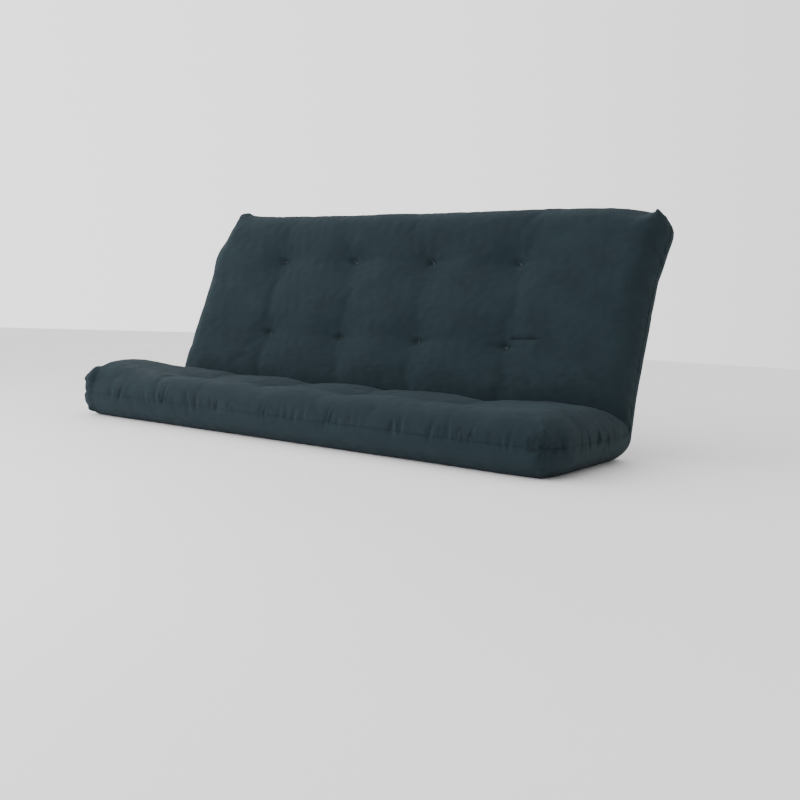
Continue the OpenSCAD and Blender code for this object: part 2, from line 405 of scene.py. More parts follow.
def spread(values, quads, count, passes):
    """Evens out values given at the points of a quad mesh."""
    pairs = np.concatenate([quads[:, [i, (i + 1) % 4]] for i in range(4)])
    pairs = np.concatenate([pairs, pairs[:, ::-1]])
    number = np.bincount(pairs[:, 0], minlength=count)[:, None]
    for _ in range(passes):
        near = np.stack([
            np.bincount(pairs[:, 0], values[pairs[:, 1], axis], minlength=count)
            for axis in range(values.shape[1])
        ], -1)
        values = 0.5 * values + 0.5 * near / number
    return values


def tube(path, radius, sides=6, closed=False, flat=1.0, up=None):
    """Points and quads of a tube along a path; the ends are drawn to a point."""
    path = np.asarray(path, float)
    along = np.roll(path, -1, 0) - np.roll(path, 1, 0) if closed else np.gradient(path, axis=0)
    along /= np.maximum(np.linalg.norm(along, axis=1, keepdims=True), 1e-12)
    if up is None:
        up = np.array([0.31, 0.42, 0.85])
    out = np.broadcast_to(up, path.shape) - along * (along * up).sum(1, keepdims=True)
    out /= np.maximum(np.linalg.norm(out, axis=1, keepdims=True), 1e-12)
    side = np.cross(along, out)
    turn = np.arange(sides) * 2 * math.pi / sides
    size = np.full(len(path), radius, float)
    if not closed:
        size[[0, -1]] *= 0.05
    ring = (
        out[:, None] * np.cos(turn)[None, :, None] * flat
        + side[:, None] * np.sin(turn)[None, :, None]
    )
    points = (path[:, None] + ring * size[:, None, None]).reshape(-1, 3)
    rings = len(path) if closed else len(path) - 1
    i = np.arange(rings)[:, None]
    j = np.arange(sides)[None, :]
    here, there = i * sides, (i + 1) % len(path) * sides
    after = (j + 1) % sides
    quads = np.stack([here + j, here + after, there + after, there + j], -1).reshape(-1, 4)
    return points, quads


def join(parts):
    """One set of points and quads from several."""
    points, quads, start = [], [], 0
    for some, faces in parts:
        points.append(some)
        quads.append(faces + start)
        start += len(some)
    return np.concatenate(points), np.concatenate(quads)


# ---- the cover ----


def perimeter_place(x, s):
    """Distance round the bed's edge, from the front left corner, for points near it."""
    half_x, s0, s1 = HALF_L - INSET, INSET, BED_W - INSET
    to_front, to_top = s - s0, s1 - s
    to_left, to_right = x + half_x, half_x - x
    nearest = np.argmin(np.stack([to_front, to_right, to_top, to_left]), 0)
    long, wide = 2 * half_x, s1 - s0
    return np.choose(nearest, [
        to_left,
        long + to_front,
        long + wide + to_right,
        2 * long + wide + to_top,
    ]), 2 * (long + wide)


def puckers(x, s, h):
    """Gathers across the perimeter seam, as heights along the cover's normal."""
    place, around = perimeter_place(x, s)
    up = h - MID
    height = np.zeros(len(x))
    draw = np.random.default_rng(11)
    for _ in range(PUCKERS):
        centre = draw.uniform(0, around)
        width = draw.uniform(0.005, 0.010)
        tall = draw.uniform(0.015, 0.060)
        low = draw.uniform(0.006, 0.020)
        size = draw.uniform(0.3, 1.0) ** 3 * PUCKER
        lean = draw.uniform(-0.3, 0.3)
        d = place - centre
        d = np.where(d > around / 2, d - around, np.where(d < -around / 2, d + around, d))
        near = np.abs(d) < 0.06
        dn, un = d[near] - lean * up[near], up[near]
        reach = np.where(un > 0, tall, low)
        fade = np.exp(-((un / reach) ** 2))
        height[near] -= size * fade * (bell(dn, width) - 0.3 * bell(dn - 1.8 * width, width))
    return height


def corner_gathers(normal, up):
    """Folds that fan out from the ears of the four corners, as heights along the normal."""
    round_corner = FILL * (np.arctan2(np.abs(normal[:, 1]), np.abs(normal[:, 0])) - math.pi / 4)
    off = np.hypot(round_corner, up)
    angle = np.arctan2(up, round_corner)
    fan = np.sin(7 * angle + 0.6) + 0.7 * np.sin(12 * angle + 2.0)
    on_corner = smooth(4 * np.abs(normal[:, 0] * normal[:, 1]))
    return CORNER_FOLD * fan * np.exp(-off / 0.030) * smooth(off / 0.012) * on_corner


def sewn_shape(cells):
    """The cover as it is sewn and tufted, before the simulation fills it."""
    half_x, s0, s1 = HALF_L - INSET, INSET, BED_W - INSET
    index, ijk, place, quads = block_grid(cells, half_x, s0, s1, 0.0, LOFT)
    flat, normal = round_block(place, half_x, s0, s1, 0.0, LOFT, FILL)
    x, s, h = flat.T
    sideways = np.hypot(normal[:, 0], normal[:, 1])
    up = h - MID
    at_right, on_seat = x > 0, s < SEAT_W
    # the deck presses the lower half in, the seam is drawn in a little, and the sides are full
    plan_corner = 2 * np.abs(normal[:, 0] * normal[:, 1]) / np.maximum(sideways ** 2, 1e-9)
    seam = (0.0008 + 0.003 * plan_corner) * bell(up, 0.007)
    tuck = TUCK * smooth((TUCK_H - h) / TUCK_H)
    square = np.where(at_right & on_seat, 0.008, 0.017) * plan_corner ** 2
    push = sideways * (LIP * bell(up - 0.012, 0.05) - seam - tuck + square)
    # the corners stand out as ears; the seat's upper left one is squared by the heaped filling
    corner = np.abs(normal).min(1) * math.sqrt(3)
    height = np.select([at_right & on_seat, on_seat, at_right], [0.004, 0.011, 0.017], 0.005)
    ear = height * smooth((corner - 0.62) / 0.38)
    heaped = on_seat & ~at_right & (up > 0)
    ear = np.where(heaped, 0.013 * smooth((corner - 0.1) / 0.5), ear)
    outwards = np.stack([normal[:, 0], normal[:, 1], np.zeros(len(x))], -1)
    outwards /= np.maximum(np.linalg.norm(outwards, axis=1, keepdims=True), 1e-9)
    moved = flat + outwards * push[:, None] + normal * ear[:, None]
    return index, ijk, quads, flat, normal, bend(*warp(*moved.T))


def held_points(cells, ijk, flat, normal):
    """1 where the cover is held: on the deck, along its seams, in the crease and at the tufts."""
    x, s, h = flat.T
    on_deck = normal[:, 2] < -0.9
    seam = (ijk[:, 2] == cells[2] // 2) & (ripple(x, s, 0.10, 3) > -0.1)
    crease = (normal[:, 2] > 0.5) & (np.abs(s - SEAT_W) < HELD_CREASE)
    held = on_deck | seam | crease
    for _, row, columns in ROWS:
        for column in columns:
            held |= (np.hypot(x - column, s - row) < HELD_R) & (np.abs(normal[:, 2]) > 0.5)
    return held


def fill_cover(points, quads, held):
    """How far each point moves when the cover is filled: a short cloth simulation."""
    mesh = bpy.data.meshes.new("filling")
    mesh.from_pydata(points.tolist(), [], quads.tolist())
    obj = bpy.data.objects.new("filling", mesh)
    bpy.context.scene.collection.objects.link(obj)
    group = obj.vertex_groups.new(name="held")
    group.add(np.nonzero(held)[0].tolist(), 1.0, "REPLACE")
    cloth = obj.modifiers.new("cloth", "CLOTH")
    cloth.settings.quality = 4
    cloth.settings.mass = 0.3
    cloth.settings.tension_stiffness = 25
    cloth.settings.compression_stiffness = 25
    cloth.settings.shear_stiffness = 8
    cloth.settings.bending_stiffness = 0.3
    cloth.settings.use_pressure = True
    cloth.settings.uniform_pressure_force = PRESSURE
    cloth.settings.shrink_min = -SLACK
    cloth.settings.vertex_group_mass = "held"
    cloth.settings.effector_weights.gravity = 0
    cloth.point_cache.frame_start = 1
    cloth.point_cache.frame_end = FRAMES
    scene = bpy.context.scene
    for step in range(1, FRAMES + 1):
        scene.frame_set(step)
    view = bpy.context.evaluated_depsgraph_get()
    settled = obj.evaluated_get(view).to_mesh()
    filled = np.empty(len(points) * 3)
    settled.vertices.foreach_get("co", filled)
    bpy.data.objects.remove(obj)
    bpy.data.meshes.remove(mesh)
    scene.frame_set(1)
    move = filled.reshape(-1, 3) - points
    length = np.linalg.norm(move, axis=1, keepdims=True)
    return move * np.minimum(1.0, SWELL / np.maximum(length, 1e-9))


def to_fine(index, ijk, move):
    """The coarse mesh's moves at the points of one with twice as many cells each way."""
    low, high = ijk // 2, (ijk + 1) // 2
    total = np.zeros((len(ijk), 3))
    for pick in np.ndindex(2, 2, 2):
        corner = np.where(np.array(pick) == 1, high, low)
        total += move[index[tuple(corner.T)]]
    return total / 8


def build_cover():
    """The filled cover: index of its grid, quads, points, and the cloth's own coordinates."""
    half_x, s0, s1 = HALF_L - INSET, INSET, BED_W - INSET
    coarse = block_cells(2 * GRID, half_x, s0, s1, 0.0, LOFT)
    fine = tuple(2 * n for n in coarse)
    index, ijk, quads, flat, normal, points = sewn_shape(fine)
    few, few_ijk, few_quads, few_flat, few_normal, few_points = sewn_shape(coarse)
    held = held_points(coarse, few_ijk, few_flat, few_normal)
    move = to_fine(few, ijk, fill_cover(few_points, few_quads, held))
    points = points + spread(SETTLED * move, quads, len(points), 9)
    x, s, h = flat.T
    sideways = np.hypot(normal[:, 0], normal[:, 1])
    fine_work = sideways * puckers(x, s, h) + 0.0005 * ripple(x, s, 0.045, 5) * (1 - sideways)
    fine_work += corner_gathers(normal, h - MID)
    points = points + point_normals(points, quads) * fine_work[:, None]
    points[:, 2] = np.maximum(points[:, 2], 0.0)
    drop = np.where(h > MID, LOFT - h, h) / np.maximum(sideways, 1e-9)
    cloth = np.stack([x + normal[:, 0] * drop, s + normal[:, 1] * drop, h], -1)
    return index, ijk, quads, points, cloth


def ridges(points, quads):
    """Where the cover stands proud of what is round it, 0 to 1: the nap wears there, and the
    colour is lightened there as a painted sheen.
    """
    normals = point_normals(points, quads)
    proud = ((points - spread(points, quads, len(points), 12)) * normals).sum(1)
    return np.clip(proud / 0.0012, 0.0, 1.0)


def cover_pieces(shape, material):
    index, ijk, quads, points, cloth = shape
    level = ijk[quads][:, :, 2]
    half = (index.shape[2] - 1) // 2
    # the ridges, for the nap's wear and a painted sheen on them
    wear = ridges(points, quads)
    for name, part, nodes in (
        ("top_cover", level >= half, ("seat_top_cover", "back_top_cover")),
        ("bottom_cover", level <= half,
         ("seat_bottom_cover", "fold_bottom_cover", "back_bottom_cover")),
    ):
        piece = mesh_object(name, points, quads[part.all(1)], material, cloth, wear)
        across_fold(piece, *nodes)


def seam_pieces(shape, material):
    """The overlocked ridge round the edge, and the seams down the corners."""
    index, _, quads, points, _ = shape
    normals = point_normals(points, quads)
    half = (index.shape[2] - 1) // 2
    ring = np.concatenate([
        index[:-1, 0, half], index[-1, :-1, half], index[:0:-1, -1, half], index[0, :0:-1, half],
    ])
    path = points[ring] + normals[ring] * 0.0004
    ridge = tube(path, SEAM_R, closed=True, flat=0.6, up=normals[ring])
    piece = mesh_object("perimeter_seam", *ridge, material)
    across_fold(piece, "seat_perimeter_seam", "back_perimeter_seam")
    for name, row, body in (("seat_corner_seam", 0, "seat"), ("back_corner_seam", -1, "back")):
        lines = []
        for end in (0, -1):
            for levels in (slice(0, half), slice(half + 1, None)):
                line = index[end, row, levels]
                lines.append(tube(points[line], 0.75 * SEAM_R, up=normals[line]))
        piece = mesh_object(name + "_lines", *join(lines), material)
        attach(piece, body)
        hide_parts(name + "s")


# ---- the filling ----


def layer_shape(h0, h1, side, radius):
    """A layer of the filling: a closed block, filled and bent with the rest."""
    half_x, s0, s1 = HALF_L - side, side, BED_W - side
    cells = block_cells(LAYER_GRID, half_x, s0, s1, h0, h1)
    _, _, place, quads = block_grid(cells, half_x, s0, s1, h0, h1)
    flat, _ = round_block(place, half_x, s0, s1, h0, h1, radius)
    return bend(*warp(*flat.T, deeper=LAYER_DEEPER)), quads, flat


def wrap_shape(shape, upper):
    """A fibre wrap: a cup under one face of the cover, as far as the middle."""
    index, _, _, points, cloth = shape
    cells = tuple((n - 1) // 2 for n in index.shape)
    few, few_ijk, _, quads = block_grid(cells, 1.0, 0.0, 1.0, 0.0, 1.0)
    at = index[tuple((2 * few_ijk).T)]
    under = spread(points[at], quads, len(at), 1)
    normals = spread(point_normals(under, quads), quads, len(at), 2)
    normals /= np.linalg.norm(normals, axis=1, keepdims=True)
    x, s, _ = cloth[at].T
    pit = sum(bell(np.hypot(x - column, s - row), 0.04)
              for _, row, columns in ROWS for column in columns)
    room = (COVER_ROOM + TUFT_ROOM * pit)[:, None]
    shells = [under - normals * (room + more) for more in (0.0, WRAP_T)]
    half = cells[2] // 2
    level = few_ijk[quads][:, :, 2]
    rim_level = half + (1 if upper else -1)
    part = quads[((level >= rim_level) if upper else (level <= rim_level)).all(1)]
    rim = np.concatenate([
        few[:-1, 0, rim_level], few[-1, :-1, rim_level],
        few[:0:-1, -1, rim_level], few[0, :0:-1, rim_level],
    ])
    after = np.roll(rim, -1)
    count = len(at)
    band = np.stack([rim, rim + count, after + count, after], -1)
    faces = np.concatenate([part, part[:, ::-1] + count, band if upper else band[:, ::-1]])
    return np.concatenate(shells), faces, np.concatenate([cloth[at], cloth[at] + 0.01])


def filling_pieces(shape, wrap, batt, foam):
    inner = INSET + COVER_ROOM + WRAP_T + CORE_ROOM
    for name, upper in (("lower_wrap", False), ("upper_wrap", True)):
        points, faces, flat = wrap_shape(shape, upper)
        piece = mesh_object("fibre_" + name, points, faces, wrap, flat)
        folded = [] if upper else ["fold_lower_wrap"]
        across_fold(piece, "seat_" + name, "back_" + name, *folded)
    layers = (
        ("lower_batt", CORE_T, BATT_EDGE, batt, "cotton_batt"),
        ("lower_foam", CORE_T, FOAM_EDGE, foam, "foam"),
        ("middle_batt", MIDDLE_BATT_T, BATT_EDGE, batt, "cotton_batt"),
        ("upper_foam", CORE_T, FOAM_EDGE, foam, "foam"),
        ("upper_batt", UPPER_BATT_T, BATT_EDGE, batt, "cotton_batt"),
    )
    h = COVER_ROOM + WRAP_T + 2 * LAYER_GAP
    for name, thick, edge, material, slot in layers:
        points, faces, flat = layer_shape(h, h + thick, inner, edge)
        h += thick + LAYER_GAP
        piece = mesh_object("filling_" + name, points, faces, material, flat)
        folded = ["fold_" + name] if name.startswith("lower") else []
        across_fold(piece, "seat_" + name, "back_" + name, *folded)


# ---- tufts, closing stitches and label ----


def tuft_tie(x, s):
    """Two strands of twine, twisted, from face to face."""
    steps, turns = 48, 9
    h = np.linspace(0.004, LOFT - 0.003, steps)
    axis = bend(*warp(np.full(steps, x), np.full(steps, s), h))
    turn = np.linspace(0, 2 * math.pi * turns, steps)
    strands = []
    for start in (0, math.pi):
        round_it = np.stack([np.cos(turn + start), np.sin(turn + start), 0 * turn], -1)
        strands.append(tube(axis + 0.0007 * round_it, STRAND_R))
    return strands


def on_cover(shape, side, a, b):
    """Places and outward directions on one side of the cover's grid, at parts a and b of it."""
    _, _, quads, points, _ = shape
    i, j = a * (side.shape[0] - 1), b * (side.shape[1] - 1)
    i0, j0 = np.floor(i).astype(int), np.floor(j).astype(int)
    di, dj = (i - i0)[:, None], (j - j0)[:, None]
    found = []
    for values in (points, point_normals(points, quads)):
        near = values[side[i0, j0]] * (1 - di) + values[side[i0 + 1, j0]] * di
        far = values[side[i0, j0 + 1]] * (1 - di) + values[side[i0 + 1, j0 + 1]] * di
        found.append(near * (1 - dj) + far * dj)
    return found


def on_face(shape, x, s, above):
    """Places and outward directions on the cover's upper face or underside."""
    half_x = HALF_L - INSET
    side = shape[0][:, :, -1 if above else 0]
    return on_cover(shape, side, (x + half_x) / (2 * half_x), (s - INSET) / (BED_W - 2 * INSET))


def left_end(shape, s, h):
    """Places and outward directions on the cover's left end."""
    return on_cover(shape, shape[0][0], (s - INSET) / (BED_W - 2 * INSET), h / LOFT)


def tuft_knot(here, out, lean):
    """A flat overhand knot of twine with two short tails, drawn down on the cover."""
    right = np.array([1.0, 0, 0]) - out * out[0]
    right /= np.linalg.norm(right)
    back = np.cross(out, right)
    turn = np.linspace(0.35, 2 * math.pi - 0.35, 44)
    size = KNOT_R / 3
    loop = np.stack([
        size * (np.sin(turn) + 2 * np.sin(2 * turn)),
        size * (np.cos(turn) - 2 * np.cos(2 * turn)),
        KNOT_LIFT - 0.0011 * np.sin(3 * turn),
    ], -1)
    swing = np.array([[math.cos(lean), -math.sin(lean)], [math.sin(lean), math.cos(lean)]])
    loop[:, :2] = loop[:, :2] @ swing.T
    lines = [loop]
    for side in (-1, 1):
        t = np.linspace(0, 1, 10)
        tail = np.stack([
            side * (0.001 + 0.013 * t),
            0.002 + 0.004 * side * t ** 2,
            KNOT_LIFT + 0.009 * t ** 1.4,
        ], -1)
        tail[:, :2] = tail[:, :2] @ swing.T
        lines.append(tail)
    places = [here + line @ np.stack([right, back, out]) for line in lines]
    return [tube(place, 0.0012) for place in places]


def row_of_knots(shape, s, columns, above):
    places, outs = on_face(shape, columns, np.full(len(columns), s), above)
    leans = np.sin(37 * columns + 11 * s)
    return [part for spot in zip(places, outs, leans) for part in tuft_knot(*spot)]


def tuft_pieces(shape, twine):
    bodies = {"seat_front": "seat", "back_lower": "back", "back_upper": "back"}
    for name, s, columns in ROWS:
        groups = (
            ("tuft_ties", [part for x in columns for part in tuft_tie(x, s)]),
            ("face_knots", row_of_knots(shape, s, columns, True)),
            ("underside_knots", row_of_knots(shape, s, columns, False)),
        )
        for kind, parts in groups:
            piece = mesh_object(f"{name}_row_{kind}", *join(parts), twine)
            node = f"{name}_{kind}"
            if name in bodies:
                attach(piece, bodies[name])
                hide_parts(node)
            else:
                across_fold(piece, node)


def closing_stitch_piece(shape, thread):
    """The hand-sewn stitches that close the cover's end, over the seam."""
    low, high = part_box("closing_stitches")
    middle_y = (low.y + high.y) / 2
    middle_z = (low.z + high.z) / 2
    centre = unbend(middle_y, middle_z)
    half_run = 0.5 * math.hypot(high.y - low.y, high.z - low.z) - 0.006
    stitches = []
    for start in np.linspace(centre - half_run, centre + half_run, STITCHES):
        t = np.linspace(-1, 1, 9)
        places, out = left_end(shape, start + 0.0022 * t, MID + 0.0055 * t)
        lift = 0.0022 * np.sqrt(np.clip(1 - t ** 2, 0, 1)) + 0.0002
        stitches.append(tube(places + out * lift[:, None], STITCH_R))
    piece = mesh_object("end_closing_stitches", *join(stitches), thread)
    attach(piece, "back")
    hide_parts("closing_stitches")


def label_piece(shape):
    """A blank label caught in the seam at the seat's left end."""
    low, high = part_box("care_label")
    wide, long = high.y - low.y, high.z - low.z
    start = SEAT_W + low.y - PIVOT_Y
    across, down = np.meshgrid(np.linspace(0, 1, 15), np.linspace(0, 1, 17), indexing="ij")
    u, v = across.ravel(), down.ravel()
    behind, _ = left_end(shape, start + wide * u, MID - 0.9 * long * v)
    seam, out = left_end(shape, start + wide * u, np.full(len(u), MID))
    curl = 0.002 + 0.006 * v ** 2 + 0.0012 * np.sin(5 * u + 3 * v) * v
    points = seam.copy()
    points[:, 0] += out[:, 0] * curl
    points[:, 2] -= long * v
    points[:, 0] = np.minimum(points[:, 0], behind[:, 0] - 0.0008)
    index = np.arange(len(u)).reshape(across.shape)
    quads = np.stack([
        index[:-1, :-1], index[:-1, 1:], index[1:, 1:], index[1:, :-1],
    ], -1).reshape(-1, 4)
    laid = np.stack([u * wide, v * long, 0 * u], -1)
    piece = mesh_object("blank_label", points, quads, label_look(wide, long), laid)
    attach(piece, "seat")
    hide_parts("care_label")


# ---- in place of CAD nodes ----


def across_fold(piece, *nodes):
    """piece takes the place of these CAD nodes, which are hidden; its transform is baked in."""
    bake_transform(piece)
    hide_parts(*nodes)


# ---- materials ----


class Look:
    """A procedural material on the cloth's own coordinates, in metres."""

    def __init__(self, name, roughness, sheen=0.0, sheen_roughness=0.4, specular=0.5):
        self.material = bpy.data.materials.new(name)
        self.material.use_nodes = True
        self.tree = self.material.node_tree
        self.shader = next(n for n in self.tree.nodes if n.type == "BSDF_PRINCIPLED")
        self.shader.inputs["Roughness"].default_value = roughness
        self.shader.inputs["Sheen Weight"].default_value = sheen
        self.shader.inputs["Sheen Roughness"].default_value = sheen_roughness
        self.shader.inputs["Specular IOR Level"].default_value = specular
        place = self.node("ShaderNodeAttribute", attribute_name="cloth")
        self.place = place.outputs["Vector"]

    def node(self, kind, inputs=None, **settings):
        made = self.tree.nodes.new(kind)
        for name, value in settings.items():
            setattr(made, name, value)
        for name, value in (inputs or {}).items():
            self.put(made.inputs[name], value)
        return made

    def put(self, socket, value):
        if isinstance(value, bpy.types.NodeSocket):
            self.tree.links.new(value, socket)
        else:
            socket.default_value = value

    def axes(self):
        return self.node("ShaderNodeSeparateXYZ", {"Vector": self.place}).outputs

    def mapped(self, scale=(1, 1, 1), turn=0.0):
        """The coordinates, turned about the cloth's normal, then scaled."""
        turned = self.node("ShaderNodeMapping", {
            "Vector": self.place, "Rotation": (0, 0, math.radians(turn))})
        return self.node("ShaderNodeMapping", {
            "Vector": turned.outputs[0], "Scale": scale}).outputs[0]

    def noise(self, size, stretch=(1, 1, 1), turn=0.0, detail=3.0, rough=0.5):
        """Noise with features of one size, 0 to 1."""
        made = self.node("ShaderNodeTexNoise", {
            "Vector": self.mapped(stretch, turn), "Scale": 1 / size, "Detail": detail,
            "Roughness": rough})
        return made.outputs["Fac"]

    def lines(self, pitch, turn=0.0, bend=0.0):
        """Parallel ridges a pitch apart, 0 to 1."""
        made = self.node("ShaderNodeTexWave", {
            "Vector": self.mapped(turn=turn), "Scale": math.pi / 10 / pitch,
            "Distortion": bend, "Detail": 1.0, "Detail Scale": 2.0}, wave_type="BANDS")
        return made.outputs["Fac"]

    def maths(self, kind, a, b):
        made = self.node("ShaderNodeMath", operation=kind)
        self.put(made.inputs[0], a)
        self.put(made.inputs[1], b)
        return made.outputs[0]

    def ramp(self, value, low, high, start=0.3, end=0.7):
        """Runs from one colour to another as value goes from start to end."""
        made = self.node("ShaderNodeValToRGB", {"Fac": value})
        first, last = made.color_ramp.elements
        first.position, last.position = start, end
        first.color, last.color = (*low, 1), (*high, 1)
        return made.outputs["Color"]

    def mix(self, kind, amount, a, b):
        made = self.node("ShaderNodeMix", data_type="RGBA", blend_type=kind)
        self.put(made.inputs[0], amount)
        self.put(made.inputs[6], a)
        self.put(made.inputs[7], b)
        return made.outputs[2]

    def clamped(self, value, low, high):
        return self.node("ShaderNodeClamp", {"Value": value, "Min": low, "Max": high}).outputs[0]

    def closeness(self, value, middle, reach, most):
        """How close value is to middle, 0 to 1, falling from most over each reach."""
        off = self.maths("ABSOLUTE", self.maths("SUBTRACT", value, middle), 0.0)
        return self.clamped(self.maths("SUBTRACT", most, self.maths("DIVIDE", off, reach)), 0, 1)

    def colour(self, value):
        self.put(self.shader.inputs["Base Color"], value)

    def roughness(self, value, low, high):
        made = self.node("ShaderNodeMapRange", {"Value": value, "To Min": low, "To Max": high})
        self.put(self.shader.inputs["Roughness"], made.outputs[0])

    def bumps(self, *layers):
        """Each layer is (height 0 to 1, its depth in metres)."""
        under = None
        for height, depth in layers:
            bump = self.node("ShaderNodeBump", {
                "Height": height, "Strength": 1.0, "Distance": depth})
            if under is not None:
                self.tree.links.new(under, bump.inputs["Normal"])
            under = bump.outputs["Normal"]
        self.tree.links.new(under, self.shader.inputs["Normal"])


def seam_creases(look):
    """Short creases across the perimeter seam, in clusters, 0 to 1: they bump the cover and darken
    its colour as painted shade.
    """
    pitch, length, group_pitch = 0.012, 0.075, 0.11
    centre, reach = MID + 0.022, 0.03
    axes = look.axes()
    half_x = HALF_L - INSET
    along = look.maths("ADD", look.clamped(axes["X"], -half_x, half_x),
                       look.clamped(axes["Y"], INSET, BED_W - INSET))
    place = look.node("ShaderNodeCombineXYZ", {
        "X": look.maths("MULTIPLY", along, 1 / pitch),
        "Y": look.maths("MULTIPLY", axes["Z"], 1 / length)}).outputs[0]
    folds = look.node("ShaderNodeTexNoise", {"Vector": place, "Scale": 1.0, "Detail": 1.0})
    groups = look.node("ShaderNodeTexNoise", {
        "Vector": look.maths("MULTIPLY", along, 1 / group_pitch), "Scale": 1.0, "Detail": 1.0})
    fold = look.closeness(folds.outputs["Fac"], 0.5, 0.10, 1.0)
    group = look.clamped(look.maths("MULTIPLY", look.maths(
        "SUBTRACT", groups.outputs["Fac"], 0.48), 8.0), 0, 1)
    near = look.closeness(axes["Z"], centre, reach, 1.3)
    return look.maths("MULTIPLY", look.maths("MULTIPLY", fold, group), near)


def long_crease(look):
    """The sharp bottom of the fold beside the back's lower right tuft, 0 to 1: it bumps the cover
    and darkens its colour as painted shade.
    """
    _, row, columns = ROWS[2]
    start, half_l = columns[-1] + 0.008, LONG_FOLD_L / 2
    half_w, ramp = 0.005, 0.02
    axes = look.axes()
    rise = look.maths("MULTIPLY", look.maths("SUBTRACT", axes["X"], columns[-1]), LONG_FOLD_LEAN)
    middle = look.maths("ADD", rise, row + LONG_FOLD_UP)
    across = look.closeness(axes["Y"], middle, half_w, 1.1)
    along = look.closeness(axes["X"], start + half_l, ramp, half_l / ramp)
    on_top = look.closeness(axes["Z"], LOFT, MID, 1.0)
    return look.maths("MULTIPLY", look.maths("MULTIPLY", across, along), on_top)


def twill_look():
    """Brushed twill: fine diagonal ridges, slubby yarns, a nap that catches the light unevenly,
    painted shade along the creases, and wear with a painted sheen on the ridges.
    """
    look = Look("cover_twill", 0.86, sheen=0.07, sheen_roughness=0.5, specular=0.15)
    look.shader.inputs["Sheen Tint"].default_value = (0.42, 0.62, 0.74, 1)
    ribs = look.lines(0.0019, turn=-52)
    yarns = look.lines(0.0011, turn=0)
    slubs = look.noise(0.0035, stretch=(0.25, 1.6, 1), detail=4)
    lint = look.noise(0.0016, detail=5, rough=0.7)
    nap = look.noise(0.11, stretch=(0.8, 1.2, 1), turn=20, detail=5, rough=0.55)
    wash = look.noise(0.55, detail=2)
    base = look.ramp(nap, COVER_DARK, COVER_LIGHT, 0.30, 0.72)
    base = look.mix("MIX", look.maths("MULTIPLY", wash, 0.5), base, (*COVER_TEAL, 1))
    base = look.mix("MULTIPLY", 0.55, base, look.ramp(ribs, (0.72,) * 3, (1.1,) * 3, 0.1, 0.9))
    base = look.mix("MULTIPLY", 0.45, base, look.ramp(slubs, (0.70,) * 3, (1.22,) * 3, 0.3, 0.7))
    # the ridges are lightened: real wear of the nap, and a painted sheen where they catch the
    # light
    wear = look.node("ShaderNodeAttribute", attribute_name="wear").outputs["Fac"]
    wear_and_sheen_amount = look.maths("MULTIPLY", wear, 0.10)
    creases_and_shade = look.maths("MAXIMUM", seam_creases(look), long_crease(look))
    # painted shade: the colour is darkened along the seam creases and the long fold
    base = look.mix("MULTIPLY", look.maths("MULTIPLY", creases_and_shade, 0.85), base, (0.35, 0.35, 0.35, 1))
    look.colour(look.mix("MIX", wear_and_sheen_amount, base, (*COVER_WORN_AND_SHEEN, 1)))
    look.roughness(nap, 0.78, 0.95)
    flat_between = look.maths("SUBTRACT", 1.0, creases_and_shade)
    look.bumps((flat_between, 0.0016), (slubs, 0.0006), (ribs, 0.00045), (yarns, 0.00015),
               (lint, 0.0003))
    return look.material


def thread_look():
    """Twisted polyester thread, a shade darker than the cover."""
    look = Look("seam_thread", 0.8, sheen=0.04, specular=0.12)
    twist = look.lines(0.0013, turn=35)
    fuzz = look.noise(0.0012, detail=4)
    base = look.ramp(twist, (0.0065, 0.0125, 0.0170), (0.0135, 0.0245, 0.0300), 0.1, 0.9)
    look.colour(look.mix("MULTIPLY", 0.5, base, look.ramp(fuzz, (0.7,) * 3, (1.2,) * 3)))
    look.roughness(fuzz, 0.72, 0.9)
    look.bumps((twist, 0.0004), (fuzz, 0.0002))
    return look.material


def twine_look():
    """Waxed tufting twine, navy, with a faint shine."""
    look = Look("tufting_twine", 0.42, sheen=0.08, specular=0.5)
    twist = look.lines(0.0016, turn=50)
    fuzz = look.noise(0.0010, detail=4)
    base = look.ramp(twist, (0.008, 0.014, 0.019), (0.030, 0.046, 0.056), 0.1, 0.9)
    look.colour(look.mix("MULTIPLY", 0.4, base, look.ramp(fuzz, (0.7,) * 3, (1.2,) * 3)))
    look.roughness(fuzz, 0.34, 0.55)
    look.bumps((twist, 0.0004), (fuzz, 0.00015))
    return look.material


def wrap_look():
    """White polyester fibre, combed and fluffy."""
    look = Look("fibre_wrap", 0.9, sheen=0.5, specular=0.2)
    strands = look.noise(0.004, stretch=(0.2, 2.0, 1), detail=6, rough=0.65)
    clumps = look.noise(0.03, detail=4)
    base = look.ramp(strands, (0.70, 0.70, 0.68), (0.86, 0.86, 0.84))
    look.colour(look.mix("MULTIPLY", 0.4, base, look.ramp(clumps, (0.85,) * 3, (1.0,) * 3)))
    look.roughness(strands, 0.82, 1.0)
    look.bumps((clumps, 0.004), (strands, 0.0012))
    return look.material


def batt_look():
    """Felted cotton, off-white with a few darker flecks."""
    look = Look("cotton_batt", 0.95, sheen=0.35, specular=0.15)
    fibres = look.noise(0.006, stretch=(0.5, 1.4, 1), detail=6, rough=0.7)
    flecks = look.noise(0.003, detail=2)
    base = look.ramp(fibres, (0.56, 0.52, 0.43), (0.74, 0.70, 0.61))
    fleck = look.ramp(flecks, (0, 0, 0), (1, 1, 1), 0.70, 0.76)
    look.colour(look.mix("MIX", fleck, base, (0.16, 0.14, 0.12, 1)))
    look.roughness(fibres, 0.88, 1.0)
    look.bumps((fibres, 0.0016), (flecks, 0.0005))
    return look.material


